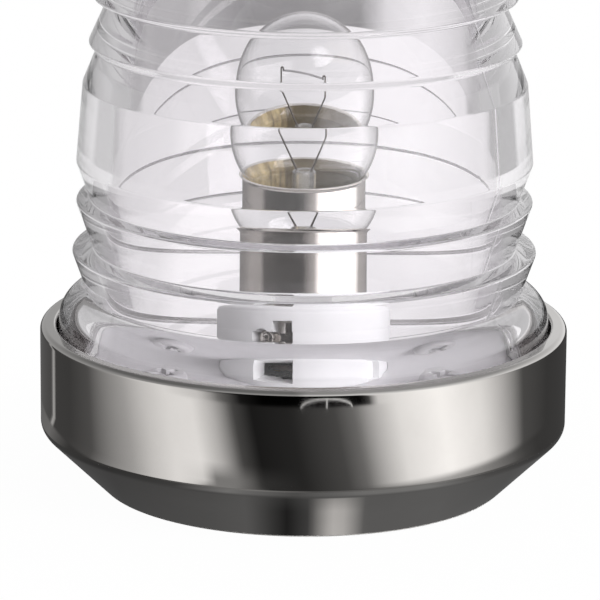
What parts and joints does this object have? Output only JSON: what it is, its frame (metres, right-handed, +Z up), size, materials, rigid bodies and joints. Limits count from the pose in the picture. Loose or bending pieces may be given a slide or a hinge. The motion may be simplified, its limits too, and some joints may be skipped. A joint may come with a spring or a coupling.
{
  "type": "masthead light",
  "caption": "Round masthead light: polished steel cup, clear prism lens that screws into it, and a bayonet bulb in a white socket.",
  "frame": {"origin": "centre of the cup's flat foot", "axes": "+Z up along the light's axis from foot to lens crown; -Y is the side that the picture shows"},
  "size_m": [0.0646, 0.0646, 0.0719],
  "materials": {
    "steel": "mirror polished",
    "lens_clear": "clear gloss",
    "white_plastic": "satin",
    "seal_rubber": "matte",
    "bush_rubber": "matte",
    "screw_steel": "plain",
    "contact_brass": "plain",
    "spring_steel": "plain",
    "disc_brown": "matte",
    "bulb_glass": "clear gloss",
    "cap_nickel": "nickel plated",
    "cement": "matte",
    "wire_metal": "drawn",
    "insulator_black": "gloss",
    "solder": "dull"
  },
  "bodies": {
    "base": {"base_cup": "steel", "cable_bush": "bush_rubber", "carrier_plate": "white_plastic", "carrier_screws": "screw_steel", "lamp_socket": "white_plastic", "socket_screws": "screw_steel", "terminal_strips": "contact_brass", "terminal_screws": "screw_steel", "contact_springs": "spring_steel"},
    "contact_plunger": {"contact_disc": "disc_brown", "contact_studs": "contact_brass"},
    "bulb": {"bulb_glass": "bulb_glass", "bulb_cap": "cap_nickel", "bayonet_pins": "cap_nickel", "basing_cement": "cement", "glass_stem": "bulb_glass", "support_wires": "wire_metal", "filament": "wire_metal", "cap_insulator": "insulator_black", "cap_contacts": "solder"},
    "seal_ring": {"lens_seal": "seal_rubber"},
    "screw_lens": {"lens": "lens_clear"}
  },
  "joints": [
    {"name": "lens_rise", "type": "slide", "parent": "base", "child": "seal_ring", "axis": [0, 0, 1], "range_m": [0, 0.0045]},
    {"name": "lens_unscrew", "type": "hinge", "parent": "seal_ring", "child": "screw_lens", "pos_m": [0, 0, 0], "axis": [0, 0, 1], "range_deg": [0, 540]},
    {"name": "contact_press", "type": "slide", "parent": "base", "child": "contact_plunger", "axis": [0, 0, 1], "range_m": [-0.0019, 0], "stiffness_N_per_m": 400, "springref_m": 0.003, "deforming": ["contact_springs"]},
    {"name": "bulb_turn", "type": "hinge", "parent": "contact_plunger", "child": "bulb", "pos_m": [0, 0, 0], "axis": [0, 0, 1], "range_deg": [0, 15]}
  ],
  "couplings": [
    {"joint": "lens_rise", "follows": "lens_unscrew", "m_per_rad": 0.0004774},
    {"joint": "bulb_turn", "follows": "contact_press", "rad_per_m": -137.78}
  ]
}
